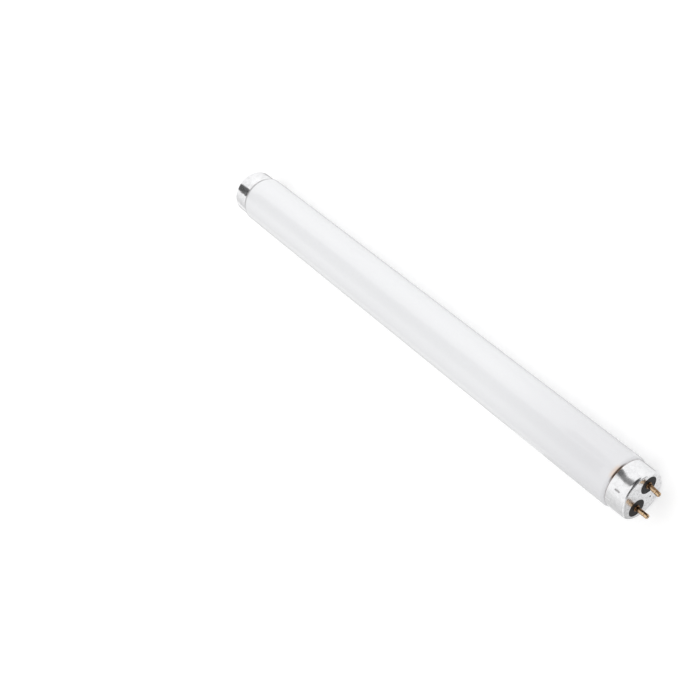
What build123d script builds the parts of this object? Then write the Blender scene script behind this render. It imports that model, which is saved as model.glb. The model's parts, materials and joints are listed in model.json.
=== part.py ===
"""Short straight fluorescent tube with a two-pin metal cap at each end.

Millimetres. The lamp lies along X, with its middle at the origin. The two pins of a cap
are in the XY plane, so +Y is the rear pin, -Y is the front pin and +Z is up.
Depths are measured inwards along the lamp from the outer face of a cap, so a pin's tip
has a negative depth. Each end piece is drawn at the right end (+X) and turned half round
about Z for the left end, where the two pins change places. The rear pin of the right cap
is slightly bent towards the front one.
"""

import os

from build123d import *

# Whole lamp
lamp_length = 330.0
glass_diameter = 28.0

# Caps: drawn aluminium cups
cap_set_in = 0.8
cap_length = 10.8
cap_wall = 0.4
cap_edge_radius = 1.4
vent_diameter = 1.0
vent_offset = 6.2

# Pressed marks on the side of a cap, square to the line of the pins
mark_length = 3.1
mark_depth = 0.3
mark_radius = 0.5
mark_start_depth = 4.1

# Insulators: moulded plates with two round bosses that show through the face of the cap
insulator_thickness = 1.7
insulator_edge_clearance = 0.1
boss_edge_margin = 0.65
boss_clearance = 0.05
boss_sink = 0.1

# Contact pins: brass, riveted through the insulators
pin_spacing = 12.7
pin_diameter = 2.4
pin_length = 7.5
pin_tip_radius = 0.85
pin_lean_angle = 6.5
pin_bend_height = 0.6
collar_diameter = 3.5
collar_height = 0.55
collar_round = 0.15
rivet_diameter = 4.0
rivet_thickness = 0.5
crimp_depth = 0.28
crimp_radius = 0.8
crimp_position = 4.8

# Lead wires, from the glass stem out through the pins
wire_diameter = 0.6
wire_end_sink = 0.3
wire_bend_radius = 1.5
wire_pitch = 5.8
wire_first_bend_depth = 6.6
wire_last_bend_depth = 3.7

# Ends of the glass, drawn in to go inside the caps
shoulder_gap = 0.4
shoulder_radius = 1.3
neck_root_radius = 0.25
neck_end_depth = 4.0
neck_end_radius = 1.5
flare_mouth_diameter = 15.0
flare_mouth_radius = 1.0
flare_bottom_diameter = 9.0
flare_depth = 13.0
exhaust_tip_diameter = 4.2
exhaust_tip_length = 10.8
exhaust_tip_round_share = 0.75

# Basing cement between glass and cap
cement_thickness = 0.5
cement_mark_gap = 0.4
cement_sink = 0.25

# Worked out from the sizes above
half_length = lamp_length / 2
glass_radius = glass_diameter / 2
cap_radius = glass_radius - cap_set_in
cap_inner_radius = cap_radius - cap_wall
cap_inner_edge_radius = cap_edge_radius - cap_wall
neck_radius = cap_inner_radius - cement_thickness
shoulder_depth = cap_length + shoulder_gap
pin_offset = pin_spacing / 2
pin_radius = pin_diameter / 2
boss_radius = cap_radius - cap_edge_radius - boss_edge_margin - pin_offset
insulator_back_depth = cap_wall + insulator_thickness
rivet_depth = insulator_back_depth + rivet_thickness
collar_top_depth = boss_sink - collar_height
bend_depth = collar_top_depth - pin_bend_height
wire_radius = wire_diameter / 2
wire_end_reach = pin_length + bend_depth - wire_end_sink
flare_bottom_depth = neck_end_depth + flare_depth
exhaust_tip_depth = flare_bottom_depth - exhaust_tip_length
exhaust_tip_radius = exhaust_tip_diameter / 2
mark_centre_radius = cap_radius - mark_depth + mark_radius
mark_straight = mark_length - 2 * mark_radius
mark_middle_depth = mark_start_depth + mark_length / 2
cement_start_depth = mark_start_depth + mark_length + cement_mark_gap


def along(depth):
    """Position on X at the right end for a depth below the face of the cap."""
    return half_length - depth


# Line about which a pin bends: upright, across the pin a little above its collar
bend_line = Axis((along(bend_depth), pin_offset, 0), (0, 0, 1))
bend_plane = Plane.YZ.offset(along(bend_depth))

# Glass: a closed and coated bulb, taken as one solid
with BuildPart() as glass_tube:
    with BuildSketch(Plane.XY) as glass_profile:
        with BuildLine() as glass_outline:
            FilletPolyline(
                (0, 0),
                (along(exhaust_tip_depth), 0),
                (along(exhaust_tip_depth), exhaust_tip_radius),
                (along(flare_bottom_depth), exhaust_tip_radius),
                (along(flare_bottom_depth), flare_bottom_diameter / 2),
                (along(neck_end_depth), flare_mouth_diameter / 2),
                (along(neck_end_depth), neck_radius),
                (along(shoulder_depth), neck_radius),
                (along(shoulder_depth), glass_radius),
                (0, glass_radius),
                radius=[
                    0,
                    exhaust_tip_radius * exhaust_tip_round_share,
                    0,
                    0,
                    flare_mouth_radius,
                    neck_end_radius,
                    neck_root_radius,
                    shoulder_radius,
                ],
            )
            Line((0, glass_radius), (0, 0))
        make_face()
        mirror(about=Plane.YZ)
    revolve(axis=Axis.X)

# Pressed mark: a lengthwise dent, and the same dent a wall's thickness larger
with BuildPart() as mark_hollow:
    with Locations((along(mark_middle_depth), 0, mark_centre_radius)):
        Cylinder(mark_radius, mark_straight, rotation=(0, 90, 0))
    with Locations(
        (along(mark_middle_depth) - mark_straight / 2, 0, mark_centre_radius),
        (along(mark_middle_depth) + mark_straight / 2, 0, mark_centre_radius),
    ):
        Sphere(mark_radius)

with BuildPart() as mark_bump:
    with Locations((along(mark_middle_depth), 0, mark_centre_radius)):
        Cylinder(mark_radius + cap_wall, mark_straight, rotation=(0, 90, 0))
    with Locations(
        (along(mark_middle_depth) - mark_straight / 2, 0, mark_centre_radius),
        (along(mark_middle_depth) + mark_straight / 2, 0, mark_centre_radius),
    ):
        Sphere(mark_radius + cap_wall)
    with Locations((along(mark_middle_depth), 0, 0)):
        Cylinder(cap_radius, cap_length, rotation=(0, 90, 0), mode=Mode.INTERSECT)

# Cap: a cup with two round windows, a vent and two pressed marks
with BuildPart() as cap_shell:
    with BuildSketch(Plane.XY) as cap_profile:
        with BuildLine() as cap_outline:
            FilletPolyline(
                (along(0), 0),
                (along(0), cap_radius),
                (along(cap_length), cap_radius),
                (along(cap_length), cap_inner_radius),
                (along(cap_wall), cap_inner_radius),
                (along(cap_wall), 0),
                radius=[cap_edge_radius, 0, 0, cap_inner_edge_radius],
            )
            Line((along(cap_wall), 0), (along(0), 0))
        make_face()
    revolve(axis=Axis.X)
    add(mark_bump.part)
    add(mark_bump.part.mirror(Plane.XY))
    add(mark_hollow.part, mode=Mode.SUBTRACT)
    add(mark_hollow.part.mirror(Plane.XY), mode=Mode.SUBTRACT)
    with BuildSketch(Plane.YZ.offset(along(0))) as cap_windows:
        with Locations((pin_offset, 0), (-pin_offset, 0)):
            Circle(boss_radius + boss_clearance)
        with Locations((0, -vent_offset)):
            Circle(vent_diameter / 2)
    extrude(amount=-2 * cap_wall, mode=Mode.SUBTRACT)

# Insulator: a plate pressed into the cup, with a boss round each pin
with BuildPart() as insulator:
    with BuildSketch(Plane.YZ.offset(along(insulator_back_depth))) as insulator_plate:
        Circle(cap_inner_radius)
    extrude(amount=insulator_thickness)
    chamfer(
        insulator.edges().group_by(Axis.X)[-1],
        length=cap_inner_edge_radius + insulator_edge_clearance,
    )
    with BuildSketch(Plane.YZ.offset(along(insulator_back_depth))) as insulator_bosses:
        with Locations((pin_offset, 0), (-pin_offset, 0)):
            Circle(boss_radius)
    extrude(amount=insulator_back_depth - boss_sink)
    with BuildSketch(Plane.YZ.offset(along(insulator_back_depth))) as insulator_holes:
        with Locations((pin_offset, 0), (-pin_offset, 0)):
            Circle(pin_radius)
    extrude(amount=insulator_back_depth, mode=Mode.SUBTRACT)

# Root of a pin: rivet head, shank through the insulator and collar on the boss
with BuildPart() as pin_root:
    with BuildSketch(Plane.XY) as pin_root_profile:
        with BuildLine() as pin_root_outline:
            FilletPolyline(
                (along(rivet_depth), pin_offset),
                (along(rivet_depth), pin_offset + rivet_diameter / 2),
                (along(insulator_back_depth), pin_offset + rivet_diameter / 2),
                (along(insulator_back_depth), pin_offset + pin_radius),
                (along(boss_sink), pin_offset + pin_radius),
                (along(boss_sink), pin_offset + collar_diameter / 2),
                (along(collar_top_depth), pin_offset + collar_diameter / 2),
                (along(collar_top_depth), pin_offset),
                radius=[rivet_thickness / 2, 0, 0, 0, 0, collar_round],
            )
            Line((along(collar_top_depth), pin_offset), (along(rivet_depth), pin_offset))
        make_face()
    revolve(axis=Axis((0, pin_offset, 0), (1, 0, 0)))

# Shaft of a pin: round tip, pinched on the wire from above and below
with BuildPart() as pin_shaft:
    with BuildSketch(Plane.XY) as pin_shaft_profile:
        with BuildLine() as pin_shaft_outline:
            FilletPolyline(
                (along(collar_top_depth + collar_height / 2), pin_offset),
                (along(collar_top_depth + collar_height / 2), pin_offset + pin_radius),
                (along(-pin_length), pin_offset + pin_radius),
                (along(-pin_length), pin_offset),
                radius=[0, pin_tip_radius],
            )
            Line(
                (along(-pin_length), pin_offset),
                (along(collar_top_depth + collar_height / 2), pin_offset),
            )
        make_face()
    revolve(axis=Axis((0, pin_offset, 0), (1, 0, 0)))
    with Locations(
        (along(-crimp_position), pin_offset, pin_radius - crimp_depth + crimp_radius),
        (along(-crimp_position), pin_offset, -pin_radius + crimp_depth - crimp_radius),
    ):
        Cylinder(crimp_radius, pin_diameter, rotation=(90, 0, 0), mode=Mode.SUBTRACT)

# Lead wire: straight out of the stem, over to the line of the pin, and up the pin
with BuildPart() as inner_wire:
    with BuildLine(Plane.XY) as inner_wire_path:
        FilletPolyline(
            (along(flare_bottom_depth), wire_pitch / 2),
            (along(wire_first_bend_depth), wire_pitch / 2),
            (along(wire_last_bend_depth), pin_offset),
            (along(bend_depth), pin_offset),
            radius=wire_bend_radius,
        )
    with BuildSketch(Plane.YZ.offset(along(flare_bottom_depth))) as inner_wire_section:
        with Locations((wire_pitch / 2, 0)):
            Circle(wire_radius)
    sweep(path=inner_wire_path.line)

with BuildPart() as wire_in_shaft:
    with BuildSketch(bend_plane) as shaft_wire_section:
        with Locations((pin_offset, 0)):
            Circle(wire_radius)
    extrude(amount=wire_end_reach)

# The straight pin and the bent one, each drilled by its own wire
with BuildPart() as straight_wire:
    add(inner_wire.part)
    add(wire_in_shaft.part)

with BuildPart() as straight_pin:
    add(pin_root.part)
    add(pin_shaft.part)
    add(straight_wire.part, mode=Mode.SUBTRACT)

with BuildPart() as bent_wire:
    add(inner_wire.part)
    with Locations((along(bend_depth), pin_offset, 0)):
        Sphere(wire_radius)
    add(wire_in_shaft.part.rotate(bend_line, -pin_lean_angle))

with BuildPart() as shaft_below_bend:
    add(pin_shaft.part)
    split(bisect_by=bend_plane, keep=Keep.BOTTOM)

with BuildPart() as shaft_above_bend:
    add(pin_shaft.part)
    split(bisect_by=bend_plane, keep=Keep.TOP)

with BuildPart() as bent_pin:
    add(pin_root.part)
    add(shaft_below_bend.part)
    with Locations((along(bend_depth), pin_offset, 0)):
        Sphere(pin_radius)
    add(shaft_above_bend.part.rotate(bend_line, -pin_lean_angle))
    add(bent_wire.part, mode=Mode.SUBTRACT)

# Cement: a ring between neck and cap that shows in the gap at the rim
with BuildPart() as cap_cement:
    with BuildSketch(Plane.XY) as cement_profile:
        with BuildLine() as cement_outline:
            Polyline(
                (along(cement_start_depth), neck_radius),
                (along(cement_start_depth), cap_inner_radius),
                (along(cap_length), cap_inner_radius),
                (along(cap_length), cap_radius - cement_sink),
                (along(shoulder_depth + shoulder_radius), cap_radius - cement_sink),
                (along(shoulder_depth + shoulder_radius), neck_radius),
                close=True,
            )
        make_face()
    revolve(axis=Axis.X)
    add(glass_tube.part, mode=Mode.SUBTRACT)

os.makedirs("parts", exist_ok=True)

glass_tube.part.label = "glass_tube"
export_step(glass_tube.part, "parts/glass_tube.step")

for end, turn, rear_way in (("right", 0, 1), ("left", 180, -1)):
    for piece, name in (
        (cap_shell, "cap_shell"),
        (insulator, "insulator"),
        (cap_cement, "cap_cement"),
    ):
        with BuildPart() as end_piece:
            add(piece.part.rotate(Axis.Z, turn))
        end_piece.part.label = f"{end}_{name}"
        export_step(end_piece.part, f"parts/{end}_{name}.step")

    for side, way in (("rear", rear_way), ("front", -rear_way)):
        bent = end == "right" and side == "rear"
        for piece, name in (
            (bent_pin if bent else straight_pin, "pin"),
            (bent_wire if bent else straight_wire, "wire"),
        ):
            with BuildPart() as contact_piece:
                add(piece.part.rotate(Axis.X, 90 - 90 * way).rotate(Axis.Z, turn))
            contact_piece.part.label = f"{end}_{side}_{name}"
            export_step(contact_piece.part, f"parts/{end}_{side}_{name}.step")
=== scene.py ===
"""Looks of a short straight fluorescent tube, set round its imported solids.

Metres. The lamp lies along X with its middle at the origin. The two pins of a cap are in
the XY plane and +Z is up, so the glass rests on the floor along its lowest line.
"""

import json
import logging
import math
from dataclasses import dataclass, field
from enum import Enum
from typing import Any

import bpy
from mathutils import Matrix, Vector


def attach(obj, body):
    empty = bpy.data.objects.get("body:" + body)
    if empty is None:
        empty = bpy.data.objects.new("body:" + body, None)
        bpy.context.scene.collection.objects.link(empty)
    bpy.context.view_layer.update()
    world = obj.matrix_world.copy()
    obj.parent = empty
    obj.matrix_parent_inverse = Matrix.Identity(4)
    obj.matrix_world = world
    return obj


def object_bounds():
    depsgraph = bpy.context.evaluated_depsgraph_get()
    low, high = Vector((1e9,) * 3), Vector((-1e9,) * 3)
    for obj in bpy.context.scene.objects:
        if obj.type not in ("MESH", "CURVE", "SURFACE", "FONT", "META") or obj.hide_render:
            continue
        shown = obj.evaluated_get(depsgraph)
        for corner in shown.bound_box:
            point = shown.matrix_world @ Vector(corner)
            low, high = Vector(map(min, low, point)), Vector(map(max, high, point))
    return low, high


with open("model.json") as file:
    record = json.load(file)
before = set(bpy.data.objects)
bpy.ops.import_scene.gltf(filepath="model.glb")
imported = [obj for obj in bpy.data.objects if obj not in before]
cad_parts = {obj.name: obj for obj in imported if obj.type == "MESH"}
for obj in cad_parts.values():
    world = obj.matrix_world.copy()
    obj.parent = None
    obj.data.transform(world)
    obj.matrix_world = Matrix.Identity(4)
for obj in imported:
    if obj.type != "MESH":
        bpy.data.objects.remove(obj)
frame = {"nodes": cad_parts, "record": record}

CAD_BOX: tuple[Vector, Vector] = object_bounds()
BODY: str = "root"

LOG = logging.getLogger("fluorescent_tube")

Colour = tuple[float, float, float, float]
Triple = tuple[float, float, float]
Aims = tuple[tuple[float, float], ...]
Socket = bpy.types.NodeSocket

WHITE: Colour = (1.0, 1.0, 1.0, 1.0)
PATTERN_MEAN: float = 0.5


class Slot(Enum):
    """Material slots of the lamp's record, for the cement and the lead wire."""

    CEMENT = "basing_cement"
    WIRE = "lead_wire"


class End(Enum):
    """The two ends of the lamp, by the sign of X."""

    RIGHT = 1
    LEFT = -1

    @property
    def word(self) -> str:
        """Name of this end in the names of its pieces."""
        return self.name.lower()


class Side(Enum):
    """The two pins of a cap, by the sign of Y."""

    REAR = 1
    FRONT = -1

    @property
    def word(self) -> str:
        """Name of this side in the names of its pieces."""
        return self.name.lower()


@dataclass(frozen=True)
class Pattern:
    """Cloud pattern: cells in each unit, octaves of finer pattern, their weight and a stretch by axis."""

    scale: float
    detail: float
    rough: float
    stretch: Triple | None = None


@dataclass(frozen=True)
class Ramp:
    """Smooth change from to_low, at and below low, to to_high, at and above high."""

    low: float
    high: float
    to_low: float = 0.0
    to_high: float = 1.0


@dataclass(frozen=True)
class Relief:
    """How strongly a surface follows a height pattern, and the pattern's depth in metres."""

    strength: float
    depth: float


class NodeSheet:
    """Node tree of one finish, with short ways to add and join nodes."""

    def __init__(self, owner: bpy.types.Material | bpy.types.World) -> None:
        """Start an empty sheet.

        Args:
            owner: what the sheet shades.
        """
        owner.use_nodes = True
        self.owner = owner
        self.tree = owner.node_tree
        self.tree.nodes.clear()

    @classmethod
    def named(cls, name: str) -> "NodeSheet":
        """Sheet of a new material of that name."""
        return cls(bpy.data.materials.new(name))

    def add(self, kind: str, inputs: dict[Any, Any] | None = None, **settings: Any) -> bpy.types.Node:
        """Add a node.

        Args:
            kind: Blender's name for the node type.
            inputs: socket name or number to a value, or to a socket to link from.
            settings: properties of the node.

        Returns:
            The new node.
        """
        node = self.tree.nodes.new(kind)
        for key, value in settings.items():
            setattr(node, key, value)
        for socket, value in (inputs or {}).items():
            if isinstance(value, Socket):
                self.tree.links.new(value, node.inputs[socket])
            else:
                node.inputs[socket].default_value = value
        return node

    def place(self) -> Socket:
        """Object coordinates of the surface."""
        return self.add("ShaderNodeTexCoord").outputs["Object"]

    def normal(self) -> Socket:
        """Direction that the surface faces."""
        return self.add("ShaderNodeNewGeometry").outputs["Normal"]

    def mirrored(self) -> Socket:
        """1 for what shows in a gloss or in polished metal, and 0 for the rest."""
        return self.add("ShaderNodeLightPath").outputs["Is Glossy Ray"]

    def seen(self) -> Socket:
        """1 for what is seen straight on or through glass, and 0 for the rest."""
        path = self.add("ShaderNodeLightPath").outputs
        return self.math("MAXIMUM", path["Is Camera Ray"], path["Is Transmission Ray"])

    def split(self, vector: Socket) -> tuple[Socket, Socket, Socket]:
        """X, Y and Z of a vector."""
        return tuple(self.add("ShaderNodeSeparateXYZ", {0: vector}).outputs)

    def math(self, operation: str, first: Any, second: Any = 0.0) -> Socket:
        """Result of one sum on two numbers or sockets."""
        return self.add("ShaderNodeMath", {0: first, 1: second}, operation=operation).outputs[0]

    def times(self, first: Any, second: Any) -> Socket:
        """Product of two numbers or sockets."""
        return self.math("MULTIPLY", first, second)

    def plus(self, first: Any, second: Any) -> Socket:
        """Sum of two numbers or sockets."""
        return self.math("ADD", first, second)

    def size(self, value: Socket) -> Socket:
        """A value without its sign."""
        return self.math("ABSOLUTE", value)

    def blend(self, share: float, first: Socket, second: Socket) -> Socket:
        """Weighted mean of two values, with that share of the first."""
        return self.plus(self.times(first, share), self.times(second, 1.0 - share))

    def noise(self, vector: Socket, pattern: Pattern) -> Socket:
        """Grey cloud pattern.

        Args:
            vector: coordinates to read.
            pattern: what the clouds are like.

        Returns:
            The pattern's value, PATTERN_MEAN on average.
        """
        if pattern.stretch is not None:
            vector = self.add("ShaderNodeMapping", {"Vector": vector, "Scale": pattern.stretch}).outputs[0]
        values = {
            "Vector": vector,
            "Scale": pattern.scale,
            "Detail": pattern.detail,
            "Roughness": pattern.rough,
        }
        return self.add("ShaderNodeTexNoise", values).outputs[0]

    def ramp(self, value: Socket, ramp: Ramp) -> Socket:
        """Value mapped along a ramp."""
        limits = {0: value, 1: ramp.low, 2: ramp.high, 3: ramp.to_low, 4: ramp.to_high}
        return self.add("ShaderNodeMapRange", limits, interpolation_type="SMOOTHSTEP").outputs[0]

    def mix(self, share: Socket, first: Any, second: Any) -> Socket:
        """Blend of two colours, by a share from 0 to 1 of the second."""
        return self.add("ShaderNodeMix", {0: share, 6: first, 7: second}, data_type="RGBA").outputs[2]

    def bump(self, height: Socket, relief: Relief, normal: Socket | None = None) -> Socket:
        """Normal that follows a height pattern.

        Args:
            height: the pattern.
            relief: how strongly and how deeply the normal follows it.
            normal: normal to start from, if not the surface's own.

        Returns:
            The new normal.
        """
        values = {"Height": height, "Strength": relief.strength, "Distance": relief.depth}
        if normal is not None:
            values["Normal"] = normal
        return self.add("ShaderNodeBump", values).outputs[0]

    def finish(self, inputs: dict[str, Any]) -> bpy.types.Material:
        """Close the sheet with one surface shader.

        Args:
            inputs: the shader's values and links, by socket name.

        Returns:
            The sheet's material.
        """
        shader = self.add("ShaderNodeBsdfPrincipled", inputs)
        self.add("ShaderNodeOutputMaterial", {"Surface": shader.outputs[0]})
        return self.owner


@dataclass(frozen=True)
class RimArc:
    """Stretch of a rim, in degrees round the lamp from +Y over +Z: its middle, core and half length."""

    middle: float
    core: float
    half: float

    def share(self, sheet: NodeSheet, place: Socket, full: float = 1.0) -> Socket:
        """Share of a colour along the arc.

        Args:
            sheet: sheet to add the nodes to.
            place: object coordinates.
            full: share in the arc's core.

        Returns:
            The full share in the core, falling to 0 at the arc's two ends.
        """
        _, y, z = sheet.split(place)
        turn = sheet.math("SUBTRACT", sheet.math("ARCTAN2", z, y), math.radians(self.middle))
        fade = Ramp(math.radians(self.core), math.radians(self.half), full, 0.0)
        return sheet.ramp(sheet.size(turn), fade)


@dataclass(frozen=True)
class CoatedGlassFinish:
    """Clear glass over a matt white powder coating, with cement showing through beside the right rim."""

    light: Colour = (0.850, 0.855, 0.870, 1.0)
    dark: Colour = (0.830, 0.835, 0.850, 1.0)
    end_tint: Colour = (0.765, 0.765, 0.785, 1.0)
    cement_tint: Colour = (0.80, 0.60, 0.45, 1.0)
    # Grey of the painted shade along the glass's two rims.
    bare_edge: Colour = (0.48, 0.48, 0.49, 1.0)
    # Dark edge beside the right rim: partly cement seen through the glass, partly painted shade of the
    # gap.
    burnt_edge: Colour = (0.09, 0.06, 0.045, 1.0)
    powder: Pattern = Pattern(520.0, 6.0, 0.6)
    streaks: Pattern = Pattern(1.0, 3.0, 0.5, stretch=(9.0, 110.0, 110.0))
    ripple: Pattern = Pattern(1.0, 2.0, 0.4, stretch=(40.0, 90.0, 90.0))
    ripple_relief: Relief = Relief(0.12, 0.0002)
    powder_share: float = 0.45
    mottle: Ramp = Ramp(0.35, 0.65)
    tint_reach: Ramp = Ramp(0.060, 0.150)
    tint_waver: float = 0.030
    bare_reach: Ramp = Ramp(0.1516, 0.1526)
    bare_share: Ramp = Ramp(0.0, 0.1, 1.0, 0.15)
    stain_arc: RimArc = RimArc(62.0, 6.0, 20.0)
    stain_reach: Ramp = Ramp(0.1508, 0.1536)
    stain_strength: float = 0.75
    burnt_arc: RimArc = RimArc(60.0, 10.0, 30.0)
    burnt_reach: Ramp = Ramp(0.1531, 0.1536)
    roughness: Ramp = Ramp(0.3, 0.7, 0.42, 0.55)
    refraction: float = 1.5
    coat_roughness: float = 0.08

    def coating(self, sheet: NodeSheet, place: Socket, powder: Socket) -> Socket:
        """Colour of the powder coating.

        Args:
            sheet: sheet to add the nodes to.
            place: object coordinates.
            powder: pattern of the powder's mottling.

        Returns:
            White with pour streaks, greyer towards the right end, and with a grey line of painted shade at
            the two rims, strongest at the left.
        """
        x = sheet.split(place)[0]
        streaks = sheet.noise(place, self.streaks)
        share = sheet.blend(self.powder_share, powder, streaks)
        white = sheet.mix(sheet.ramp(share, self.mottle), self.dark, self.light)
        waver = sheet.times(sheet.math("SUBTRACT", streaks, PATTERN_MEAN), self.tint_waver)
        tint = sheet.ramp(sheet.plus(x, waver), self.tint_reach)
        # Painted shade: a grey line along both rims, full at the left end and faint at the right.
        edge_shade = sheet.times(sheet.ramp(sheet.size(x), self.bare_reach), sheet.ramp(x, self.bare_share))
        return sheet.mix(edge_shade, sheet.mix(tint, white, self.end_tint), self.bare_edge)

    def material(self) -> bpy.types.Material:
        """Coating with a stain beside the right rim, and a dark edge there that is partly cement seen
        through the glass and partly painted shade of the gap at the rim, under a faintly rippled gloss.

        Returns:
            The material.
        """
        sheet = NodeSheet.named("coated_glass_finish")
        place = sheet.place()
        x = sheet.split(place)[0]
        powder = sheet.noise(place, self.powder)
        stain_share = self.stain_arc.share(sheet, place, self.stain_strength)
        stain = sheet.times(stain_share, sheet.ramp(x, self.stain_reach))
        # Dark edge at the right rim: partly cement seen through the glass, partly painted shade of the
        # gap.
        burnt_and_gap_shade = sheet.times(self.burnt_arc.share(sheet, place), sheet.ramp(x, self.burnt_reach))
        stained = sheet.mix(stain, self.coating(sheet, place, powder), self.cement_tint)
        return sheet.finish(
            {
                "Base Color": sheet.mix(burnt_and_gap_shade, stained, self.burnt_edge),
                "Roughness": sheet.ramp(powder, self.roughness),
                "IOR": self.refraction,
                "Coat Weight": 1.0,
                "Coat Roughness": self.coat_roughness,
                "Coat IOR": self.refraction,
                "Coat Normal": sheet.bump(sheet.noise(place, self.ripple), self.ripple_relief),
            }
        )


@dataclass(frozen=True)
class BrightAluminiumFinish:
    """Drawn aluminium: a bright, slightly wavy side and a duller, speckled face."""

    side_clean: Colour = (0.92, 0.92, 0.93, 1.0)
    side_dull: Colour = (0.86, 0.86, 0.87, 1.0)
    face_clean: Colour = (0.93, 0.93, 0.94, 1.0)
    face_dull: Colour = (0.78, 0.78, 0.79, 1.0)
    pit: Colour = (0.40, 0.39, 0.39, 1.0)
    lines: Pattern = Pattern(5200.0, 3.0, 0.6)
    line_pitch: float = 0.0004
    line_relief: Relief = Relief(0.1, 0.00002)
    clouds: Pattern = Pattern(420.0, 4.0, 0.6)
    pits: Pattern = Pattern(1050.0, 3.0, 0.6)
    waves: Pattern = Pattern(210.0, 1.0, 0.4)
    wave_depth: float = 0.00022
    barrel_middle: float = 0.161
    barrel_curve: float = 6.7
    form_relief: Relief = Relief(1.0, 1.0)
    side_end: float = 0.1632
    mark_depth: Ramp = Ramp(0.01298, 0.01317, 0.85, 0.0)
    mark_reach: float = 0.15935
    smudge_along: Ramp = Ramp(0.0, 0.0024, 0.45, 0.0)
    smudge_across: Ramp = Ramp(0.0, 0.0012, 1.0, 0.0)
    face_turn: Ramp = Ramp(0.80, 0.98)
    mottle: Ramp = Ramp(0.40, 0.62)
    pit_spots: Ramp = Ramp(0.57, 0.72)
    pit_share: Ramp = Ramp(0.0, 1.0, 0.10, 0.65)
    cloud_roughness: Ramp = Ramp(0.35, 0.7, 0.10, 0.18)
    line_roughness: Ramp = Ramp(0.4, 0.7, 0.0, 0.05)
    face_roughness: float = 0.08

    def sheet_normal(self, sheet: NodeSheet, place: Socket, lines: Socket) -> Socket:
        """Normal of drawn sheet: faintly barrel-shaped, wavy and finely lined.

        Args:
            sheet: sheet to add the nodes to.
            place: object coordinates.
            lines: pattern of the turned lines.

        Returns:
            The normal.
        """
        offset = sheet.math("SUBTRACT", sheet.size(sheet.split(place)[0]), self.barrel_middle)
        barrel = sheet.times(sheet.times(offset, offset), -self.barrel_curve)
        waves = sheet.times(sheet.noise(place, self.waves), self.wave_depth)
        form = sheet.bump(sheet.plus(barrel, waves), self.form_relief)
        return sheet.bump(lines, self.line_relief, form)

    def grime(self, sheet: NodeSheet, place: Socket, radius: Socket) -> Socket:
        """Share of painted shade in the pressed mark, and of a darker patch round it on the upper side.

        Args:
            sheet: sheet to add the nodes to.
            place: object coordinates.
            radius: distance from the lamp's axis.

        Returns:
            A value from 0 to 1, 0 on the face and on the clean side.
        """
        x, y, z = sheet.split(place)
        reach = sheet.size(x)
        on_side = sheet.math("LESS_THAN", reach, self.side_end)
        # Painted shade in the sunk mark.
        sunk = sheet.ramp(radius, self.mark_depth)
        along = sheet.ramp(sheet.size(sheet.math("SUBTRACT", reach, self.mark_reach)), self.smudge_along)
        across = sheet.ramp(sheet.size(y), self.smudge_across)
        dark_patch = sheet.times(sheet.times(along, across), sheet.math("GREATER_THAN", z, 0.0))
        return sheet.times(sheet.math("MAXIMUM", sunk, dark_patch), on_side)

    def material(self) -> bpy.types.Material:
        """Turned lines round the side and the face, waves in the sheet, dark pits in the face and painted
        shade in the pressed mark.

        Returns:
            The material.
        """
        sheet = NodeSheet.named("bright_aluminium_finish")
        place = sheet.place()
        x, y, z = sheet.split(place)
        radius = sheet.math("SQRT", sheet.plus(sheet.times(y, y), sheet.times(z, z)))
        turn = sheet.times(sheet.math("ARCTAN2", z, y), self.line_pitch)
        around = sheet.add("ShaderNodeCombineXYZ", {0: x, 1: radius, 2: turn}).outputs[0]
        lines = sheet.noise(around, self.lines)
        clouds = sheet.noise(place, self.clouds)
        face = sheet.ramp(sheet.size(sheet.split(sheet.normal())[0]), self.face_turn)
        mottle = sheet.ramp(clouds, self.mottle)
        side_metal = sheet.mix(mottle, self.side_clean, self.side_dull)
        face_metal = sheet.mix(mottle, self.face_clean, self.face_dull)
        spots = sheet.ramp(sheet.noise(place, self.pits), self.pit_spots)
        pits = sheet.times(spots, sheet.ramp(face, self.pit_share))
        # Pits, with painted shade in the pressed mark and a darker patch round it.
        dark = sheet.math("MAXIMUM", pits, self.grime(sheet, place, radius))
        wear = sheet.plus(sheet.ramp(clouds, self.cloud_roughness), sheet.ramp(lines, self.line_roughness))
        return sheet.finish(
            {
                "Base Color": sheet.mix(dark, sheet.mix(face, side_metal, face_metal), self.pit),
                "Metallic": 1.0,
                "Roughness": sheet.plus(wear, sheet.times(face, self.face_roughness)),
                "Normal": self.sheet_normal(sheet, place, lines),
            }
        )


@dataclass(frozen=True)
class MouldedPlasticFinish:
    """Black moulded plastic with a fine grain."""

    black: Colour = (0.010, 0.009, 0.009, 1.0)
    grey: Colour = (0.034, 0.031, 0.031, 1.0)
    grain: Pattern = Pattern(2600.0, 3.0, 0.6)
    grain_relief: Relief = Relief(0.35, 0.00004)
    dust: Pattern = Pattern(420.0, 5.0, 0.65)
    dust_share: Ramp = Ramp(0.42, 0.72)
    roughness: Ramp = Ramp(0.35, 0.7, 0.45, 0.65)
    shine: float = 0.3

    def material(self) -> bpy.types.Material:
        """Near-black with a dusty cloud and a grained surface.

        Returns:
            The material.
        """
        sheet = NodeSheet.named("moulded_plastic_finish")
        place = sheet.place()
        dust = sheet.noise(place, self.dust)
        return sheet.finish(
            {
                "Base Color": sheet.mix(sheet.ramp(dust, self.dust_share), self.black, self.grey),
                "Roughness": sheet.ramp(dust, self.roughness),
                "Specular IOR Level": self.shine,
                "Normal": sheet.bump(sheet.noise(place, self.grain), self.grain_relief),
            }
        )


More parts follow.
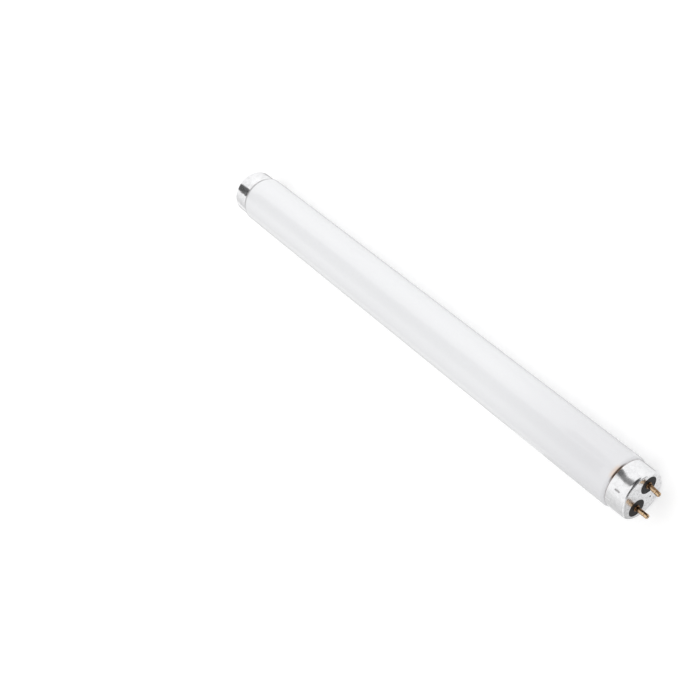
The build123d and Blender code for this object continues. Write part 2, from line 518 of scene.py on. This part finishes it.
@dataclass(frozen=True)
class RubbedBrassFinish:
    """Brass gone brown, with a painted highlight along its upper side and a brighter tip."""

    bright: Colour = (0.74, 0.53, 0.33, 1.0)
    brown: Colour = (0.22, 0.125, 0.06, 1.0)
    tarnish: Pattern = Pattern(900.0, 5.0, 0.65)
    tarnish_share: Ramp = Ramp(0.3, 0.7, -0.15, 0.20)
    scuffs: Pattern = Pattern(1.0, 3.0, 0.6, stretch=(500.0, 6000.0, 6000.0))
    scuff_relief: Relief = Relief(0.15, 0.00003)
    upper_side: Ramp = Ramp(0.66, 0.94)
    line_reach: Ramp = Ramp(0.1662, 0.1692, 0.30, 1.0)
    tip_reach: Ramp = Ramp(0.1708, 0.1722, 0.0, 0.6)
    rub: Ramp = Ramp(0.05, 0.95)
    roughness: Ramp = Ramp(0.3, 0.7, 0.12, 0.30)

    def material(self) -> bpy.types.Material:
        """Brown with a painted highlight along the top that fades towards the collar, and a brighter tip,
        under fine lengthwise scuffs.

        Returns:
            The material.
        """
        sheet = NodeSheet.named("rubbed_brass_finish")
        place = sheet.place()
        reach = sheet.size(sheet.split(place)[0])
        upright = sheet.split(sheet.normal())[2]
        tarnish = sheet.noise(place, self.tarnish)
        # Painted highlight along the top of each pin, fading towards the collar.
        painted_highlight = sheet.times(sheet.ramp(upright, self.upper_side), sheet.ramp(reach, self.line_reach))
        highlight_and_tip = sheet.math("MAXIMUM", painted_highlight, sheet.ramp(reach, self.tip_reach))
        share = sheet.plus(sheet.ramp(tarnish, self.tarnish_share), highlight_and_tip)
        return sheet.finish(
            {
                "Base Color": sheet.mix(sheet.ramp(share, self.rub), self.brown, self.bright),
                "Metallic": 1.0,
                "Roughness": sheet.ramp(tarnish, self.roughness),
                "Normal": sheet.bump(sheet.noise(place, self.scuffs), self.scuff_relief),
            }
        )


@dataclass(frozen=True)
class BakedCementFinish:
    """Basing cement: pale grey, and brown along the upper part of the right rim, partly baked cement and
    partly painted shade of the gap there.
    """

    pale: Colour = (0.58, 0.54, 0.53, 1.0)
    tan: Colour = (0.30, 0.19, 0.12, 1.0)
    brown: Colour = (0.05, 0.035, 0.028, 1.0)
    stretches: Pattern = Pattern(95.0, 3.0, 0.6)
    stretch_share: float = 0.8
    burn: Ramp = Ramp(0.4, 0.6)
    grain: Pattern = Pattern(3200.0, 4.0, 0.7)
    grain_relief: Relief = Relief(0.6, 0.00012)
    baked_arc: RimArc = RimArc(60.0, 10.0, 28.0)
    roughness: Ramp = Ramp(0.3, 0.7, 0.75, 0.95)

    def material(self) -> bpy.types.Material:
        """Grainy grey with tan and brown stretches along the right rim, partly baked cement and partly
        painted shade of the gap.

        Returns:
            The material.
        """
        sheet = NodeSheet.named("baked_cement_finish")
        place = sheet.place()
        grain = sheet.noise(place, self.grain)
        share = sheet.blend(self.stretch_share, sheet.noise(place, self.stretches), grain)
        burnt_and_gap_shade = sheet.mix(sheet.ramp(share, self.burn), self.tan, self.brown)
        at_right = sheet.math("GREATER_THAN", sheet.split(place)[0], 0.0)
        # Brown along part of the right rim: partly baked cement, partly painted shade of the gap.
        baked_and_gap_shade = sheet.times(self.baked_arc.share(sheet, place), at_right)
        return sheet.finish(
            {
                "Base Color": sheet.mix(baked_and_gap_shade, self.pale, burnt_and_gap_shade),
                "Roughness": sheet.ramp(grain, self.roughness),
                "Normal": sheet.bump(grain, self.grain_relief),
            }
        )


@dataclass(frozen=True)
class DrawnWireFinish:
    """Bare drawn wire, slightly oxidised."""

    bright: Colour = (0.62, 0.61, 0.60, 1.0)
    oxide: Colour = (0.34, 0.30, 0.27, 1.0)
    clouds: Pattern = Pattern(700.0, 4.0, 0.6)
    oxide_share: Ramp = Ramp(0.4, 0.7)
    lines: Pattern = Pattern(1.0, 2.0, 0.5, stretch=(300.0, 9000.0, 9000.0))
    line_relief: Relief = Relief(0.2, 0.00002)
    roughness: Ramp = Ramp(0.3, 0.7, 0.25, 0.45)

    def material(self) -> bpy.types.Material:
        """Grey metal with oxide clouds and fine drawing lines.

        Returns:
            The material.
        """
        sheet = NodeSheet.named("drawn_wire_finish")
        place = sheet.place()
        clouds = sheet.noise(place, self.clouds)
        return sheet.finish(
            {
                "Base Color": sheet.mix(sheet.ramp(clouds, self.oxide_share), self.bright, self.oxide),
                "Metallic": 1.0,
                "Roughness": sheet.ramp(clouds, self.roughness),
                "Normal": sheet.bump(sheet.noise(place, self.lines), self.line_relief),
            }
        )


@dataclass(frozen=True)
class SolderFinish:
    """Soft solder, dull grey with brighter spots."""

    bright: Colour = (0.70, 0.69, 0.67, 1.0)
    dull: Colour = (0.42, 0.41, 0.40, 1.0)
    spots: Pattern = Pattern(2600.0, 4.0, 0.6)
    dull_share: Ramp = Ramp(0.4, 0.65)
    skin_relief: Relief = Relief(0.3, 0.00005)
    roughness: Ramp = Ramp(0.3, 0.7, 0.22, 0.42)

    def material(self) -> bpy.types.Material:
        """Mottled grey metal with a slightly puckered skin.

        Returns:
            The material.
        """
        sheet = NodeSheet.named("solder_finish")
        spots = sheet.noise(sheet.place(), self.spots)
        return sheet.finish(
            {
                "Base Color": sheet.mix(sheet.ramp(spots, self.dull_share), self.bright, self.dull),
                "Metallic": 1.0,
                "Roughness": sheet.ramp(spots, self.roughness),
                "Normal": sheet.bump(spots, self.skin_relief),
            }
        )


class Finish(Enum):
    """The lamp's finishes, by the name that the pieces ask for."""

    GLASS = CoatedGlassFinish()
    ALUMINIUM = BrightAluminiumFinish()
    PLASTIC = MouldedPlasticFinish()
    BRASS = RubbedBrassFinish()
    CEMENT = BakedCementFinish()
    WIRE = DrawnWireFinish()
    SOLDER = SolderFinish()


@dataclass
class FinishBook:
    """The lamp's finishes, each made once."""

    materials: dict[Finish, bpy.types.Material] = field(init=False)

    def __post_init__(self) -> None:
        """Make every finish."""
        self.materials = {finish: finish.value.material() for finish in Finish}

    def dress_solid(self, node: str, finish: Finish) -> None:
        """Give a solid of the frame its finish.

        Args:
            node: name of the solid.
            finish: finish that it gets.
        """
        solid = frame["nodes"][node]
        solid.data.materials.clear()
        solid.data.materials.append(self.materials[finish])
        LOG.info("dressed %s in %s", node, finish.name.lower())

    def dress_piece(self, piece: bpy.types.Object, finish: Finish) -> None:
        """Give a new piece its finish and the body that carries it.

        Args:
            piece: finished mesh object.
            finish: finish that it gets.
        """
        piece.data.materials.clear()
        piece.data.materials.append(self.materials[finish])
        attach(piece, BODY)
        LOG.info("made %s in %s", piece.name, finish.name.lower())


@dataclass
class GlassBulb:
    """The closed white bulb."""

    node: str = "glass_tube"

    def dress(self, finishes: FinishBook) -> None:
        """Give the bulb its finish."""
        finishes.dress_solid(self.node, Finish.GLASS)


@dataclass
class CementBead:
    """Uneven bead of cement in the gap between the glass and a cap's rim."""

    end: End
    reach: float = 0.1540
    ring_radius: float = 0.01290
    half_width: float = 0.00023
    ring_steps: int = 144
    round_steps: int = 10
    finer_levels: int = 1
    lump_size: float = 0.0018
    lump_octaves: int = 2
    lump_height: float = 0.00016

    def build(self, finishes: FinishBook) -> None:
        """Model the bead and dress it.

        Args:
            finishes: book to take its finish from.
        """
        bpy.ops.object.select_all(action="DESELECT")
        bpy.ops.mesh.primitive_torus_add(
            major_radius=self.ring_radius,
            minor_radius=self.half_width,
            major_segments=self.ring_steps,
            minor_segments=self.round_steps,
            location=(self.end.value * self.reach, 0.0, 0.0),
            rotation=(0.0, math.radians(90.0), 0.0),
        )
        bead = bpy.context.active_object
        bead.name = f"{self.end.word}_cement_bead"
        bpy.ops.object.transform_apply(location=True, rotation=True, scale=True)
        self.make_uneven(bead)
        bpy.ops.object.shade_smooth()
        finishes.dress_piece(bead, Finish.CEMENT)

    def make_uneven(self, bead: bpy.types.Object) -> None:
        """Raise and sink the bead's skin in lumps.

        Args:
            bead: plain ring, changed in place.
        """
        lumps = bpy.data.textures.new(f"{bead.name}_lumps", "CLOUDS")
        lumps.noise_scale = self.lump_size
        lumps.noise_depth = self.lump_octaves
        finer = bead.modifiers.new("finer", "SUBSURF")
        finer.levels = self.finer_levels
        finer.render_levels = self.finer_levels
        uneven = bead.modifiers.new("uneven", "DISPLACE")
        uneven.texture = lumps
        uneven.texture_coords = "LOCAL"
        uneven.strength = self.lump_height
        for modifier in (finer.name, uneven.name):
            bpy.ops.object.modifier_apply(modifier=modifier)


@dataclass
class SolderBead:
    """Bead of solder that closes the wire's hole in the tip of a pin."""

    end: End
    side: Side
    radius: float = 0.00042
    height: float = 0.00024
    sink: float = 0.00006
    steps: int = 24
    roughness: float = 0.000012
    first_seed: int = 5
    smooth_angle: float = math.radians(60.0)

    @property
    def pin(self) -> str:
        """Name of the pin that carries the bead."""
        return f"{self.end.word}_{self.side.word}_pin"

    @property
    def seed(self) -> int:
        """Seed of the bead's roughness, a different one for each pin."""
        return self.end.value + 2 * self.side.value + self.first_seed

    def tip(self) -> Matrix:
        """Find the pin's tip.

        Returns:
            The tip's place, with Z along the pin and away from the lamp.
        """
        name = f"{self.end.word}_{self.side.word}_contact"
        contact = next(mount for mount in frame["record"]["mounts"] if mount["name"] == name)
        start = Vector(contact["pos_m"])
        along = Vector(contact["axis"]).normalized()
        reach = max((vertex.co - start).dot(along) for vertex in frame["nodes"][self.pin].data.vertices)
        place = Matrix.Translation(start + along * (reach - self.sink))
        return place @ along.to_track_quat("Z", "Y").to_matrix().to_4x4()

    def build(self, finishes: FinishBook) -> None:
        """Model the bead and dress it.

        Args:
            finishes: book to take its finish from.
        """
        bpy.ops.object.select_all(action="DESELECT")
        bpy.ops.mesh.primitive_uv_sphere_add(
            segments=self.steps, ring_count=self.steps // 2, radius=self.radius
        )
        bead = bpy.context.active_object
        bead.name = f"{self.pin}_solder"
        bpy.ops.object.mode_set(mode="EDIT")
        bpy.ops.mesh.select_all(action="SELECT")
        bpy.ops.mesh.bisect(
            plane_co=(0.0, 0.0, -self.sink), plane_no=(0.0, 0.0, 1.0), use_fill=True, clear_inner=True
        )
        bpy.ops.mesh.select_all(action="SELECT")
        flatter = (1.0, 1.0, self.height / self.radius)
        bpy.ops.transform.resize(value=flatter, center_override=(0.0, 0.0, 0.0))
        bpy.ops.transform.vertex_random(offset=self.roughness, seed=self.seed)
        bpy.ops.mesh.normals_make_consistent(inside=False)
        bpy.ops.object.mode_set(mode="OBJECT")
        bead.matrix_world = self.tip()
        bpy.ops.object.transform_apply(location=True, rotation=True, scale=True)
        bpy.ops.object.shade_smooth_by_angle(angle=self.smooth_angle)
        finishes.dress_piece(bead, Finish.SOLDER)


@dataclass
class EndCap:
    """One cap with its insulator, cement, pins, lead wires and solder."""

    end: End

    def dress(self, finishes: FinishBook) -> None:
        """Give each solid of this end its finish.

        Args:
            finishes: book to take the finishes from.
        """
        finishes.dress_solid(f"{self.end.word}_cap_shell", Finish.ALUMINIUM)
        finishes.dress_solid(f"{self.end.word}_insulator", Finish.PLASTIC)
        finishes.dress_solid(f"{self.end.word}_cap_cement", Finish.CEMENT)
        for side in Side:
            finishes.dress_solid(f"{self.end.word}_{side.word}_pin", Finish.BRASS)
            finishes.dress_solid(f"{self.end.word}_{side.word}_wire", Finish.WIRE)

    def add_details(self, finishes: FinishBook) -> None:
        """Add the cement's bead along the rim and the solder in the pins' tips.

        Args:
            finishes: book to take the finishes from.
        """
        CementBead(self.end).build(finishes)
        for side in Side:
            SolderBead(self.end, side).build(finishes)


@dataclass
class PhotoCamera:
    """Camera at the photograph's view, held with some roll."""

    place: Triple = (0.4418, 0.2162, 0.5255)
    right: Triple = (0.5878, 0.3717, -0.7186)
    up: Triple = (-0.5014, 0.8644, 0.0369)
    back: Triple = (0.6348, 0.3386, 0.6945)
    lens: float = 68.65
    sensor: float = 36.0
    near_clip: float = 0.01
    far_clip: float = 50.0

    def build(self) -> None:
        """Make the camera and look through it."""
        data = bpy.data.cameras.new("photo_camera")
        data.lens = self.lens
        data.sensor_width = self.sensor
        data.clip_start = self.near_clip
        data.clip_end = self.far_clip
        camera = bpy.data.objects.new("photo_camera", data)
        bpy.context.scene.collection.objects.link(camera)
        turn = Matrix((self.right, self.up, self.back)).transposed()
        camera.matrix_world = Matrix.Translation(Vector(self.place)) @ turn.to_4x4()
        bpy.context.scene.camera = camera


def heading(azimuth: float, elevation: float) -> Vector:
    """Direction as a unit vector.

    Args:
        azimuth: degrees from +X towards +Y.
        elevation: degrees above the floor.

    Returns:
        The direction.
    """
    turn = math.radians(azimuth)
    rise = math.radians(elevation)
    flat = math.cos(rise)
    return Vector((flat * math.cos(turn), flat * math.sin(turn), math.sin(rise)))


@dataclass(frozen=True)
class Card:
    """A card that only shows in polished metal and glossy glass: a strip shaded from edge to edge."""

    name: str
    first: tuple[Triple, ...]
    second: tuple[Triple, ...]
    shades: tuple[float, ...]

    @classmethod
    def aimed(
        cls, name: str, start: Triple, distance: float, edges: tuple[Aims, Aims], shades: tuple[float, ...]
    ) -> "Card":
        """Card whose edges lie in given directions from one place.

        Args:
            name: name of the card.
            start: place that the directions start from.
            distance: how far each corner is from the start.
            edges: azimuth and elevation of the corners of its two edges.
            shades: greys from the first edge to the second.

        Returns:
            The card.
        """
        first, second = (
            tuple(tuple(Vector(start) + heading(*aim) * distance) for aim in edge) for edge in edges
        )
        return cls(name, first, second, shades)

    def build(self) -> None:
        """Make the card and hide it from all but glossy surfaces."""
        bpy.ops.object.select_all(action="DESELECT")
        bpy.ops.mesh.primitive_grid_add(x_subdivisions=len(self.first) - 1, y_subdivisions=1, size=1.0)
        card = bpy.context.active_object
        card.name = self.name
        for vertex, corner in zip(card.data.vertices, self.first + self.second):
            vertex.co = corner
        card.data.materials.append(self.material())
        card.visible_camera = False
        card.visible_diffuse = False
        card.visible_shadow = False
        card.visible_transmission = False

    def material(self) -> bpy.types.Material:
        """Plain glow that changes from one edge of the card to the other.

        Returns:
            The material.
        """
        sheet = NodeSheet.named(f"{self.name}_finish")
        across = sheet.split(sheet.add("ShaderNodeTexCoord").outputs["UV"])[1]
        ramp = sheet.add("ShaderNodeValToRGB", {0: across})
        stops = ramp.color_ramp.elements
        last = len(self.shades) - 1
        while len(stops) <= last:
            stops.new(0.5)
        for number, grey in enumerate(self.shades):
            stops[number].position = number / last
            stops[number].color = (grey, grey, grey, 1.0)
        glow = sheet.add("ShaderNodeEmission", {0: ramp.outputs[0]})
        sheet.add("ShaderNodeOutputMaterial", {"Surface": glow.outputs[0]})
        return sheet.owner


@dataclass
class Studio:
    """White floor, soft light and the cards that the caps and the glass mirror."""

    floor_level: float
    floor_size: float = 8.0
    floor_colour: Colour = (0.86, 0.86, 0.86, 1.0)
    floor_glow: float = 0.28
    mirrored_glow: float = 0.15
    ambient: float = 0.94
    key_watts: float = 2.4
    key_size: float = 1.2
    key_place: Triple = (-0.35, 1.00, 0.62)
    near_start: Triple = (0.160, 0.008, 0.010)
    far_start: Triple = (-0.160, 0.002, 0.013)
    card_distance: float = 0.66
    band_distance: float = 0.15
    patch_distance: float = 0.06
    card_lift: float = 0.0003

    @property
    def card_level(self) -> float:
        """Height of the cards that lie on the floor."""
        return self.floor_level + self.card_lift

    def build(self) -> None:
        """Make everything in the studio."""
        self.build_floor()
        self.build_world()
        self.build_key()
        for card in (*self.cap_cards(), *self.end_cards(), *self.room_cards(), *self.line_cards()):
            card.build()

    def build_floor(self) -> None:
        """Plain white floor that keeps the lamp's shadow."""
        bpy.ops.object.select_all(action="DESELECT")
        bpy.ops.mesh.primitive_plane_add(size=self.floor_size, location=(0.0, 0.0, self.floor_level))
        floor = bpy.context.active_object
        floor.name = "floor"
        bpy.ops.object.transform_apply(location=True, rotation=False, scale=False)
        sheet = NodeSheet.named("floor_finish")
        strength = sheet.plus(
            sheet.times(sheet.seen(), self.floor_glow), sheet.times(sheet.mirrored(), self.mirrored_glow)
        )
        lit = sheet.add("ShaderNodeBsdfDiffuse", {0: self.floor_colour})
        glow = sheet.add("ShaderNodeEmission", {0: WHITE, 1: strength})
        both = sheet.add("ShaderNodeAddShader", {0: lit.outputs[0], 1: glow.outputs[0]})
        sheet.add("ShaderNodeOutputMaterial", {"Surface": both.outputs[0]})
        floor.data.materials.append(sheet.owner)

    def build_world(self) -> None:
        """Soft light from all round, white where it is seen or mirrored."""
        world = bpy.data.worlds.new("soft_room")
        bpy.context.scene.world = world
        sheet = NodeSheet(world)
        shown = sheet.math("MAXIMUM", sheet.seen(), sheet.mirrored())
        strength = sheet.ramp(shown, Ramp(0.0, 1.0, self.ambient, 1.0))
        shade = sheet.add("ShaderNodeBackground", {0: WHITE, 1: strength})
        sheet.add("ShaderNodeOutputWorld", {0: shade.outputs[0]})

    def build_key(self) -> None:
        """Large soft lamp above and behind."""
        data = bpy.data.lights.new("key_light", "AREA")
        data.energy = self.key_watts
        data.size = self.key_size
        key = bpy.data.objects.new("key_light", data)
        bpy.context.scene.collection.objects.link(key)
        key.visible_glossy = False
        key.location = self.key_place
        key.rotation_euler = (-Vector(self.key_place)).to_track_quat("-Z", "Y").to_euler()

    def cap_cards(self) -> list[Card]:
        """Dark cards that show as a band round the near cap and as a patch on the far one.

        Returns:
            The cards.
        """
        return [
            Card.aimed(
                "near_band_card",
                self.near_start,
                self.band_distance,
                (((135, 19), (128, 24), (127, 31)), ((158, 43), (150, 46), (149, 49))),
                (0.40, 0.14, 0.10, 0.10, 0.12, 0.55),
            ),
            Card.aimed(
                "near_fade_card",
                self.near_start,
                self.band_distance,
                (
                    ((127, 31), (126, 35), (121, 36), (104, 28)),
                    ((149, 49), (148, 53), (145, 56), (114, 61)),
                ),
                (0.65, 0.42, 0.30, 0.24, 0.20, 0.55),
            ),
            Card.aimed(
                "near_rim_card",
                self.near_start,
                self.band_distance,
                (
                    ((104, 28), (84, 14), (60, 4), (37, 12), (14, 33)),
                    ((114, 61), (80, 58), (50, 52), (27, 41), (13, 36)),
                ),
                (0.25, 0.10, 0.08, 0.08, 0.10, 0.45),
            ),
            Card.aimed(
                "far_patch_card",
                self.far_start,
                self.patch_distance,
                (((174, 19), (165, 40), (150, 57)), ((188, 18), (200, 38), (217, 54))),
                (0.10, 0.10),
            ),
        ]

    def end_cards(self) -> list[Card]:
        """Dark cards beyond the right end, one upright and one on the floor.

        Returns:
            The cards.
        """
        low = self.card_level
        return [
            Card.aimed(
                "end_card",
                self.near_start,
                self.card_distance,
                (
                    ((-27, -1), (-5, -1), (12, -1), (34, -1), (52, 3)),
                    ((-25, 30), (-5, 36), (12, 35), (37, 20), (54, 14)),
                ),
                (0.06, 0.06),
            ),
            Card(
                "end_floor_card",
                ((0.190, -0.020, low), (0.190, 0.020, low)),
                ((0.600, -0.150, low), (0.600, 0.240, low)),
                (0.40, 0.14, 0.06, 0.06, 0.06),
            ),
        ]

    def room_cards(self) -> list[Card]:
        """Grey cards at the front, a light one at the rear, and one over the glass that shades it.

        Returns:
            The cards.
        """
        low = self.card_level
        return [
            Card(
                "front_grey_card",
                ((-2.6, -1.2, low), (1.5, -1.2, low)),
                ((-2.6, -1.2, 1.7), (1.5, -1.2, 1.7)),
                (0.70, 0.80, 0.93, 1.0),
            ),
            Card(
                "front_floor_card",
                ((0.100, -0.020, low), (0.190, -0.045, low)),
                ((-0.450, -1.2, low), (1.5, -1.2, low)),
                (0.70, 0.68, 0.68),
            ),
            Card(
                "rear_light_card",
                ((-1.12, 0.90, low), (-0.50, 0.90, low)),
                ((-1.12, 0.90, 0.88), (-0.50, 0.90, 0.74)),
                (1.05, 1.1, 1.1, 1.1, 1.1, 1.1, 1.1, 1.05),
            ),
            Card(
                "overhead_card",
                ((-0.166, 0.0185, 0.0295), (0.138, 0.0185, 0.0295)),
                ((-0.166, -0.0120, 0.0325), (0.138, -0.0120, 0.0325)),
                (1.0, 0.30, 0.15, 0.15, 0.20, 0.30, 0.45, 0.60, 0.80, 1.0),
            ),
        ]

    def line_cards(self) -> list[Card]:
        """Grey cards on the floor close to the lamp, painted shadow of the lamp on the floor that only
        glossy surfaces see, which darken its edges.

        Returns:
            The cards.
        """
        low = self.card_level
        return [
            Card(
                "front_line_card",
                ((-0.23, -0.018, low), (0.07, -0.018, low)),
                ((-0.23, -0.075, low), (0.07, -0.075, low)),
                (0.75, 0.68, 0.75, 0.90, 1.0),
            ),
            Card(
                "glass_line_card",
                ((-0.164, 0.004, low), (0.143, 0.004, low)),
                ((-0.164, 0.022, low), (0.143, 0.022, low)),
                (0.80, 0.60, 0.55, 0.75, 1.0),
            ),
            Card(
                "near_line_card",
                ((0.144, 0.004, low), (0.158, 0.004, low)),
                ((0.144, 0.017, low), (0.158, 0.017, low)),
                (0.35, 0.35, 0.50, 1.0),
            ),
            Card(
                "far_line_card",
                ((-0.184, 0.004, low), (-0.165, 0.004, low)),
                ((-0.184, 0.020, low), (-0.165, 0.020, low)),
                (0.32, 0.32, 0.38, 0.60, 1.0),
            ),
            Card(
                "near_foot_card",
                ((0.158, -0.034, low), (0.181, -0.034, low)),
                ((0.158, -0.006, low), (0.181, -0.006, low)),
                (0.55, 0.58, 0.80),
            ),
        ]


def main() -> None:
    """Dress the lamp, then set the studio and the camera."""
    logging.basicConfig(level=logging.INFO, format="%(name)s: %(message)s")
    bpy.context.scene.view_settings.view_transform = "Standard"
    finishes = FinishBook()
    GlassBulb().dress(finishes)
    for end in End:
        cap = EndCap(end)
        cap.dress(finishes)
        cap.add_details(finishes)
    Studio(floor_level=CAD_BOX[0].z).build()
    PhotoCamera().build()


if __name__ == "__main__":
    main()
